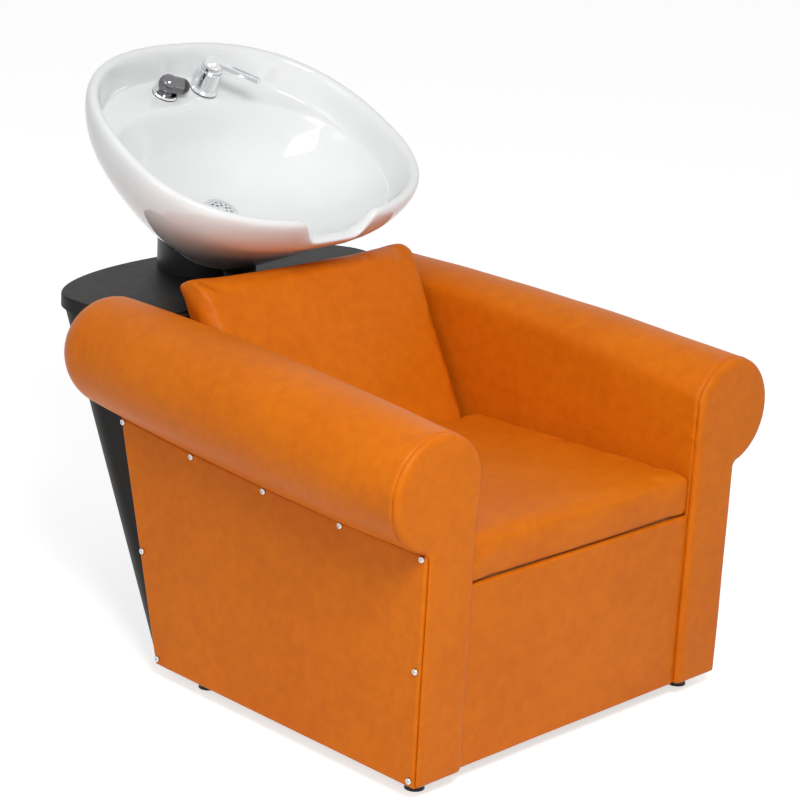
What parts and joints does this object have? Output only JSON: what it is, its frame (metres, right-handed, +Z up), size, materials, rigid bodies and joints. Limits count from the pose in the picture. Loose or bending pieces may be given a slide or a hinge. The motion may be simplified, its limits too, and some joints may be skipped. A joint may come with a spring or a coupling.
{
  "type": "backwash unit",
  "caption": "Salon shampoo chair with padded roll arms and a tilting ceramic basin, with mixer and hand shower, on a black pod behind the back.",
  "frame": {"origin": "on the floor, at the middle of the unit's footprint box", "axes": "+X to the right seen from the front, +Y from the seat's front to the basin's back, +Z up"},
  "size_m": [0.876, 1.053, 0.9734],
  "materials": {
    "orange_vinyl_pad": "satin orange vinyl over foam",
    "orange_vinyl_board": "satin orange vinyl on board",
    "black_board": "satin black vinyl on board",
    "frame_wood": "bare plywood",
    "black_plastic": "satin black",
    "black_rubber": "matt black",
    "white_ceramic": "gloss white glaze",
    "chrome": "polished",
    "zinc_steel": "zinc plated",
    "washer_plastic": "natural"
  },
  "bodies": {
    "chair": {"arm_frame_left": "frame_wood", "arm_frame_right": "frame_wood", "arm_pad_left": "orange_vinyl_pad", "arm_pad_right": "orange_vinyl_pad", "back_board": "black_board", "back_cushion": "orange_vinyl_pad", "cross_rails": "frame_wood", "foot_front_left": "black_plastic", "foot_front_right": "black_plastic", "foot_mid_left": "black_plastic", "foot_mid_right": "black_plastic", "foot_rear_left": "black_plastic", "foot_rear_right": "black_plastic", "front_panel": "orange_vinyl_board", "panel_screws_left": "zinc_steel", "panel_screws_right": "zinc_steel", "pod_base": "frame_wood", "rear_shell": "black_board", "seat_board": "frame_wood", "seat_cushion": "orange_vinyl_pad", "shelf": "black_board", "side_panel_left": "orange_vinyl_board", "side_panel_right": "orange_vinyl_board", "tilt_base": "zinc_steel", "tilt_base_screws": "zinc_steel", "tilt_collar": "black_plastic", "tilt_friction_washers": "washer_plastic", "tilt_pin_left": "zinc_steel", "tilt_pin_nuts": "zinc_steel", "tilt_pin_right": "zinc_steel", "tilt_stops": "black_rubber"},
    "basin": {"bowl": "white_ceramic", "bowl_gasket": "black_rubber", "tilt_cradle": "zinc_steel", "cradle_bolts": "zinc_steel", "tilt_skirt": "black_rubber", "mixer_back_nut": "black_plastic", "mixer_back_seal": "black_rubber", "mixer_body": "chrome", "mixer_cartridge": "black_plastic", "mixer_gasket": "black_rubber", "shower_back_nut": "black_plastic", "shower_back_seal": "black_rubber", "shower_bush": "chrome", "shower_bush_seal": "black_rubber", "waste_back_nut": "black_plastic", "waste_coupling_nut": "black_plastic", "waste_flange": "chrome", "waste_seal": "black_rubber", "waste_tail": "black_plastic"},
    "mixer_stem": {"mixer_stem": "zinc_steel"},
    "mixer_lever": {"mixer_lever": "chrome", "lever_pin": "zinc_steel"},
    "handset": {"handset_head": "chrome", "handset_face": "black_plastic"},
    "strainer": {"hair_strainer": "chrome"}
  },
  "joints": [
    {"name": "basin_tilt", "type": "hinge", "parent": "chair", "child": "basin", "pos_m": [0, 0.41, 0.622], "axis": [-1, 0, 0], "range_deg": [0, 20]},
    {"name": "temperature_swivel", "type": "hinge", "parent": "basin", "child": "mixer_stem", "pos_m": [0.047, 0.45949, 0.93678], "axis": [0, -0.454, 0.891], "range_deg": [-89, 11]},
    {"name": "flow_lift", "type": "hinge", "parent": "mixer_stem", "child": "mixer_lever", "pos_m": [0.047, 0.45949, 0.93678], "axis": [-0.7771, -0.5607, -0.2857], "range_deg": [0, 25]},
    {"name": "handset_pull", "type": "slide", "parent": "basin", "child": "handset", "axis": [0, -0.454, 0.891], "range_m": [0, 0.15]},
    {"name": "strainer_lift", "type": "slide", "parent": "basin", "child": "strainer", "axis": [0, -0.454, 0.891], "range_m": [0, 0.06]}
  ]
}
